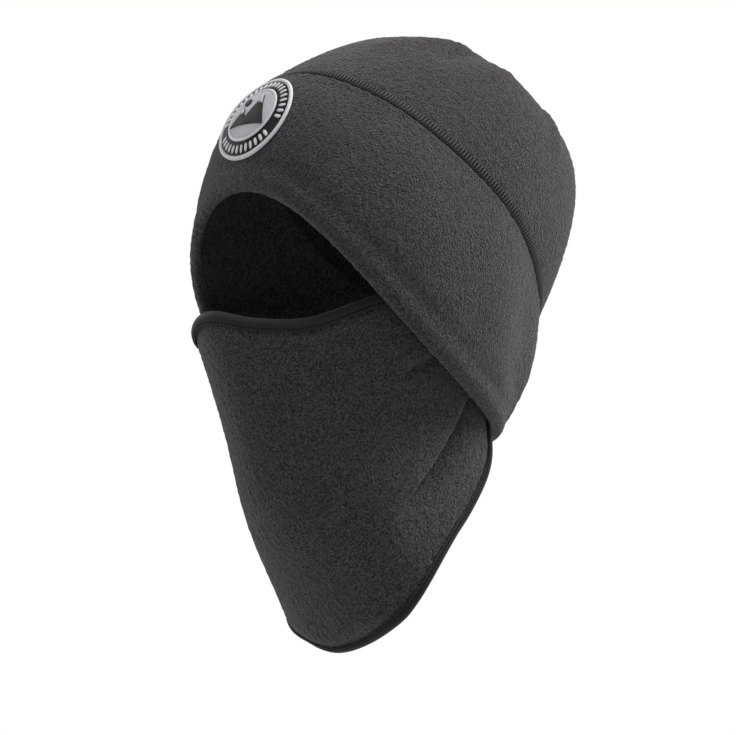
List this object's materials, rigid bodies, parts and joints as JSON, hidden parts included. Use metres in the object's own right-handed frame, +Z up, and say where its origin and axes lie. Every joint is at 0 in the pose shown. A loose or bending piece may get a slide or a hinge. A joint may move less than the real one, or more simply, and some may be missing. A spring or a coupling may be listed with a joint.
{
  "type": "balaclava",
  "caption": "Fleece hat with a deep folded brow band, a face mask sewn inside the band that pulls down off the nose, and a round embroidered badge at the front.",
  "frame": {"origin": "middle of the wearer's head, on the centre plane, level with the nose bridge and about halfway between the brow and the back of the head", "axes": "+Z up with the head level; the wearer looks along -Y; +X is the wearer's left"},
  "size_m": [0.1766, 0.2222, 0.3269],
  "materials": {
    "hat_fleece": "matt charcoal-grey pebbled fleece",
    "mask_fleece": "matt dark charcoal pebbled fleece",
    "lining_fleece": "matt black brushed fleece",
    "binding_knit": "smooth dark stretch binding",
    "dark_thread": "near-black polyester thread with a slight sheen",
    "white_thread": "white rayon embroidery thread",
    "pale_thread": "pale grey embroidery thread",
    "label_satin": "blank woven satin label"
  },
  "bodies": {
    "hat": {"crown_left": "hat_fleece", "crown_right": "hat_fleece", "crown_lining_left": "lining_fleece", "crown_lining_right": "lining_fleece", "brow_band": "hat_fleece", "band_lining": "lining_fleece", "band_seam_stitch": "dark_thread", "crown_seam_stitch": "dark_thread", "back_seam_stitch": "dark_thread", "size_label": "label_satin", "tack_left": "dark_thread", "tack_right": "dark_thread", "badge_ground": "dark_thread", "badge_border": "white_thread", "badge_inner_ring": "white_thread", "badge_field": "pale_thread", "badge_peaks": "dark_thread", "badge_sun": "dark_thread"},
    "mask": {"mask_shell": "mask_fleece", "mask_lining": "lining_fleece", "mask_top_binding": "binding_knit", "mask_bottom_binding": "binding_knit", "mask_top_stitch": "dark_thread", "mask_bottom_stitch": "dark_thread"}
  },
  "joints": [
    {"name": "mask_pull_down", "type": "hinge", "parent": "hat", "child": "mask", "pos_m": [0, 0.0378, -0.045], "axis": [1, 0, 0], "range_deg": [0, 25]}
  ]
}
